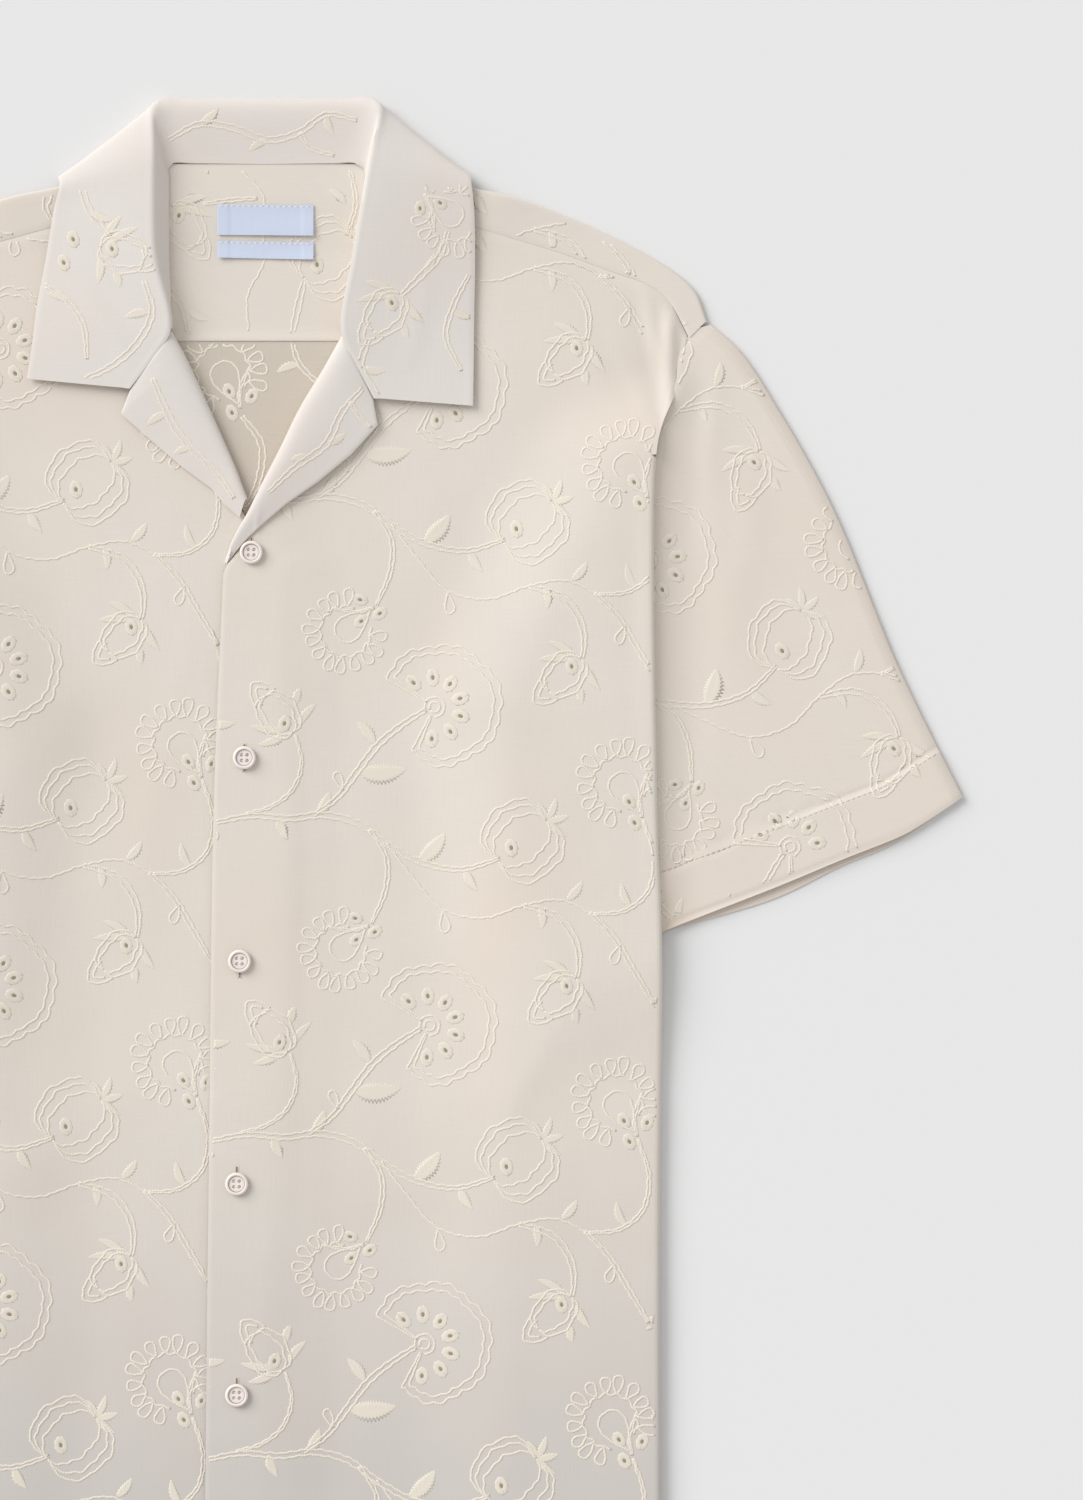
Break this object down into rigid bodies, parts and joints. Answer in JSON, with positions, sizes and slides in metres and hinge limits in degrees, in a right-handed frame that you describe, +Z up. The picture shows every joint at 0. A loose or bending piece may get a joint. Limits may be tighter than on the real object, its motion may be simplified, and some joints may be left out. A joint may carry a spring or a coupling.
{
  "type": "camp-collar bowling shirt laid flat",
  "caption": "Short-sleeved camp-collar cotton shirt with tonal floral embroidery and eyelets, buttoned and laid flat on its back, sides folded under.",
  "frame": {"origin": "middle of the laid shirt's outline, on the surface it lies on", "axes": "+X to the wearer's left, +Y towards the collar, +Z up off the surface"},
  "size_m": [0.737, 0.7749, 0.0129],
  "materials": {
    "cloth": "matte cream cotton voile with tonal embroidery",
    "thread": "soft-sheen embroidery thread",
    "label": "woven satin label, bare",
    "button": "satin polyester"
  },
  "bodies": {
    "root": {"back": "cloth", "back_yoke": "cloth", "front_right": "cloth", "front_left": "cloth", "sleeve_right": "cloth", "sleeve_left": "cloth", "lapel_right": "cloth", "lapel_left": "cloth", "collar": "cloth", "label_main": "label", "label_small": "label", "button_1": "button", "button_2": "button", "button_3": "button", "button_4": "button", "button_5": "button"}
  },
  "joints": []
}
